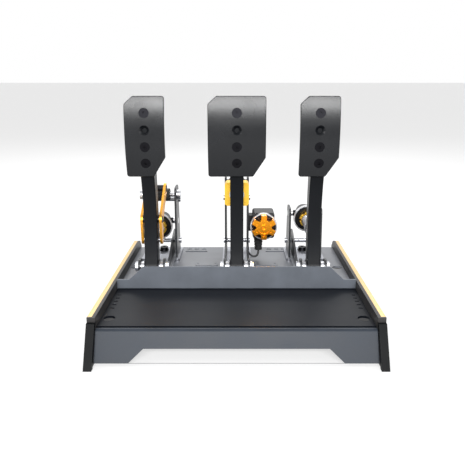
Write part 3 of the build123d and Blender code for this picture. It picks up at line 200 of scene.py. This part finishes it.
def rimmed(name, node, face_color, roughness):
    """A dark metal disc square to Y with a silver rim."""
    material, tree, shader = new_material(name, face_color, 1.0, roughness)
    low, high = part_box(node)
    centre_x = (low[0] + high[0]) / 2
    centre_z = (low[2] + high[2]) / 2
    radius = (high[2] - low[2]) / 2
    place = tree.nodes.new("ShaderNodeTexCoord")
    flat = tree.nodes.new("ShaderNodeVectorMath")
    flat.operation = "MULTIPLY"
    flat.inputs[1].default_value = (1, 0, 1)
    reach = tree.nodes.new("ShaderNodeVectorMath")
    reach.operation = "DISTANCE"
    reach.inputs[1].default_value = (centre_x, 0, centre_z)
    outside = tree.nodes.new("ShaderNodeMath")
    outside.operation = "GREATER_THAN"
    outside.inputs[1].default_value = radius - RIM_WIDTH
    tree.links.new(place.outputs["Object"], flat.inputs[0])
    tree.links.new(flat.outputs["Vector"], reach.inputs[0])
    tree.links.new(reach.outputs["Value"], outside.inputs[0])
    vary_color(tree, shader, outside.outputs["Value"], face_color, SILVER)
    add_bump(tree, shader, add_noise(tree, METAL_GRAIN), *METAL_BUMP)
    return material


looks = {
    "arm": powder_coat("arm_black", BLACK, 0.34, 0.15),
    "face": powder_coat("face_black", BLACK, 0.25, 0.35),
    "side": powder_coat("side_grey", (0.04, 0.038, 0.038), 0.42, 0.3),
    "cap": powder_coat("cap_black", (0.003, 0.0035, 0.004), 0.45, 0.1),
    "apron": powder_coat("apron_grey", (0.026, 0.033, 0.045), 0.42, 0.25),
    "heel": powder_coat("heel_graphite", (0.005, 0.0065, 0.01), 0.44, 0.14),
    "stop": powder_coat("stop_grey", STOP_GREY, 0.45),
    "deck": powder_coat("deck_grey", DECK_GREY, 0.32, 0.6),
    "foot": anodised("foot_grey", (0.36, 0.37, 0.4), 0.42),
    "plate": powder_coat("plate_black", (0.02, 0.022, 0.026), 0.36),
    "trim": anodised("trim_gold", PALE_GOLD, 0.3, BRUSHED_LENGTHWISE),
    "lever": anodised("lever_gold", (0.86, 0.42, 0.055), 0.34),
    "block": anodised("block_gold", (0.95, 0.58, 0.07), 0.34),
    "knob": anodised("knob_gold", ORANGE_GOLD, 0.3),
    "steel": anodised("steel", (0.56, 0.57, 0.6), 0.28),
    "screw": anodised("screw_black", (0.012, 0.012, 0.014), 0.42),
    "bolt": anodised("bolt_black", (0.05, 0.05, 0.055), 0.35),
    "bezel": rimmed("bezel_rimmed", "brake_adjuster_bezel", BEZEL_BLACK, 0.28),
    "clutch_disc": rimmed("clutch_disc_rimmed", "clutch_strut_barrel", BARREL_BLACK, 0.3),
    "throttle_disc": rimmed("throttle_disc_rimmed", "throttle_strut_barrel", BARREL_BLACK, 0.3),
    "barrel": anodised("barrel_black", BARREL_BLACK, 0.32),
    "plastic": moulded("housing_black", (0.014, 0.014, 0.016), 0.45, 0.25),
    "rubber": moulded("rubber_black", (0.018, 0.018, 0.019), 0.62, 0.4),
    "elastomer": moulded("elastomer_grey", (0.035, 0.035, 0.04), 0.55, 0.3),
    "cable": moulded("cable_black", (0.012, 0.012, 0.013), 0.4, 0.15),
}

look_of = {
    "side_plate_left": "side", "side_plate_right": "side", "side_trims": "trim",
    "end_caps": "cap", "rubber_feet": "rubber", "front_apron": "apron",
    "heel_plate": "heel", "heel_stop": "stop", "pedal_deck": "deck",
    "cover_plates": "deck", "cross_tubes": "plate", "frame_screws": "bolt",
    "foot_bolts": "bolt", "clutch_stop_sleeve": "rubber", "clutch_lever": "lever",
    "clutch_lever_bolts": "bolt", "brake_thrust_block": "block",
    "brake_elastomers": "elastomer", "brake_adjuster_housing": "plastic",
    "brake_adjuster_bezel": "bezel", "clutch_strut_barrel": "clutch_disc",
    "throttle_strut_barrel": "throttle_disc", "brake_adjuster_knob": "knob",
    "brake_strain_relief": "rubber", "brake_sensor_lead": "cable",
}
look_of_kind = {
    "foot_plate": "foot", "frame_plates": "plate", "tower_ties": "steel",
    "pivot_shaft": "steel", "pivot_bushes": "bolt", "arm": "arm", "face_plate": "face",
    "plate_screws": "screw", "link_pin": "steel", "strut_rod": "steel",
    "strut_barrel": "barrel", "preload_ring": "block", "spring": "steel",
}


def look_for(name):
    """The look of a CAD node, by its own name or by its kind on each pedal."""
    if name in look_of:
        return look_of[name]
    return look_of_kind[name.split("_", 1)[1]]


for name, node in nodes.items():
    node.data.materials.clear()
    node.data.materials.append(looks[look_for(name)])

# The brake sensor's lead hangs out of its relief and goes into the tower's plate
LEAD_DIAMETER = 0.0032
LEAD_ROUTE = (
    (0.036, 0.115, 0.057),
    (0.0366, 0.1105, 0.0465),
    (0.0234, 0.1105, 0.0455),
    (0.0188, 0.115, 0.0535),
)
LEAD_STEPS_ALONG = 16
LEAD_STEPS_ROUND = 6

lead_curve = bpy.data.curves.new("sensor_lead", "CURVE")
lead_curve.dimensions = "3D"
lead_line = lead_curve.splines.new("NURBS")
lead_line.points.add(len(LEAD_ROUTE) - 1)
for point, place in zip(lead_line.points, LEAD_ROUTE):
    point.co = (*place, 1)
lead_line.order_u = 3
lead_line.use_endpoint_u = True
lead_line.resolution_u = LEAD_STEPS_ALONG
lead_curve.bevel_depth = LEAD_DIAMETER / 2
lead_curve.bevel_resolution = LEAD_STEPS_ROUND
lead_curve.use_fill_caps = True
lead_curve.materials.append(looks["cable"])
lead = bpy.data.objects.new("sensor_lead", lead_curve)
scene.collection.objects.link(lead)
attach(lead, "base")
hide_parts("brake_sensor_lead")


def shortening(node_name, body):
    """A rigid copy of a spring or pads that moves with the barrel's body, in place of the
    hidden original.
    """
    node = nodes[node_name]
    piece = bpy.data.objects.new(f"{node_name}_flexing", node.data.copy())
    scene.collection.objects.link(piece)
    piece.matrix_world = node.matrix_world
    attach(piece, body)
    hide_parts(node_name)
    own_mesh(piece)


# Springs and pads are swapped for rigid copies that ride on their barrels' bodies
for pedal in ("clutch", "throttle"):
    shortening(f"{pedal}_spring", f"{pedal}_barrel")
shortening("brake_elastomers", "brake_barrel")

# Floor and world: plain and pale, a floor wide enough to run far out of the picture
FLOOR_HALF = 40.0
FLOOR_COLOR = (0.45, 0.45, 0.45)
FLOOR_ROUGHNESS = 0.8
FLOOR_SPECULAR = 0.1
FLOOR_OWN_LIGHT = 0.62
WORLD_STRENGTH = 0.32
WORLD_SEEN_STRENGTH = 1.0


def seen_rays(tree):
    """1 for camera, glossy and transmission rays, 0 for the rest."""
    path = tree.nodes.new("ShaderNodeLightPath")
    direct = tree.nodes.new("ShaderNodeMath")
    direct.operation = "MAXIMUM"
    seen = tree.nodes.new("ShaderNodeMath")
    seen.operation = "MAXIMUM"
    tree.links.new(path.outputs["Is Camera Ray"], direct.inputs[0])
    tree.links.new(path.outputs["Is Glossy Ray"], direct.inputs[1])
    tree.links.new(direct.outputs[0], seen.inputs[0])
    tree.links.new(path.outputs["Is Transmission Ray"], seen.inputs[1])
    return seen.outputs[0]


def pale_material():
    """A pale sheet that shows near white and keeps the object's shadow."""
    material, tree, shader = new_material("floor_pale", FLOOR_COLOR, 0.0, FLOOR_ROUGHNESS)
    shader.inputs["Specular IOR Level"].default_value = FLOOR_SPECULAR
    glow = tree.nodes.new("ShaderNodeEmission")
    strength = tree.nodes.new("ShaderNodeMath")
    strength.operation = "MULTIPLY"
    strength.inputs[1].default_value = FLOOR_OWN_LIGHT
    both = tree.nodes.new("ShaderNodeAddShader")
    tree.links.new(seen_rays(tree), strength.inputs[0])
    tree.links.new(strength.outputs[0], glow.inputs["Strength"])
    tree.links.new(shader.outputs["BSDF"], both.inputs[0])
    tree.links.new(glow.outputs["Emission"], both.inputs[1])
    tree.links.new(both.outputs["Shader"], tree.nodes["Material Output"].inputs["Surface"])
    return material


floor_mesh = bpy.data.meshes.new("floor")
floor_signs = ((-1, -1), (1, -1), (1, 1), (-1, 1))
floor_corners = [(x * FLOOR_HALF, y * FLOOR_HALF, 0) for x, y in floor_signs]
floor_mesh.from_pydata(floor_corners, [], [(0, 1, 2, 3)])
floor = bpy.data.objects.new("floor", floor_mesh)
floor.data.materials.append(pale_material())
scene.collection.objects.link(floor)

world = bpy.data.worlds.new("studio")
world.use_nodes = True
scene.world = world
world_tree = world.node_tree
lighting = world_tree.nodes["Background"]
lighting.inputs["Color"].default_value = WHITE
lighting.inputs["Strength"].default_value = WORLD_STRENGTH
backdrop = world_tree.nodes.new("ShaderNodeBackground")
backdrop.inputs["Color"].default_value = WHITE
backdrop.inputs["Strength"].default_value = WORLD_SEEN_STRENGTH
mix = world_tree.nodes.new("ShaderNodeMixShader")
world_output = world_tree.nodes["World Output"]
world_tree.links.new(seen_rays(world_tree), mix.inputs["Fac"])
world_tree.links.new(lighting.outputs["Background"], mix.inputs[1])
world_tree.links.new(backdrop.outputs["Background"], mix.inputs[2])
world_tree.links.new(mix.outputs["Shader"], world_output.inputs["Surface"])


def area_light(name, place, target, width, height, power):
    """A soft oblong light that points at a place."""
    data = bpy.data.lights.new(name, "AREA")
    data.shape = "RECTANGLE"
    data.size = width
    data.size_y = height
    data.energy = power
    aim = Vector(target) - Vector(place)
    light = bpy.data.objects.new(name, data)
    light.location = place
    light.rotation_euler = aim.to_track_quat("-Z", "Y").to_euler()
    scene.collection.objects.link(light)


# Soft studio lights: name, place, target, width, height and power in watts
OBJECT_MIDDLE = (0, 0, 0.12)
FACE_TOPS = (0, 0, 0.3)
area_light("front_strip", (0, -2.3, 1.22), FACE_TOPS, 1.8, 0.4, 66)
area_light("left", (-1.6, -0.3, 1.1), OBJECT_MIDDLE, 1.0, 1.0, 8)
area_light("right", (1.6, -0.3, 1.1), OBJECT_MIDDLE, 1.0, 1.0, 5)
area_light("back", (0, 1.3, 1.4), OBJECT_MIDDLE, 1.6, 0.8, 16)
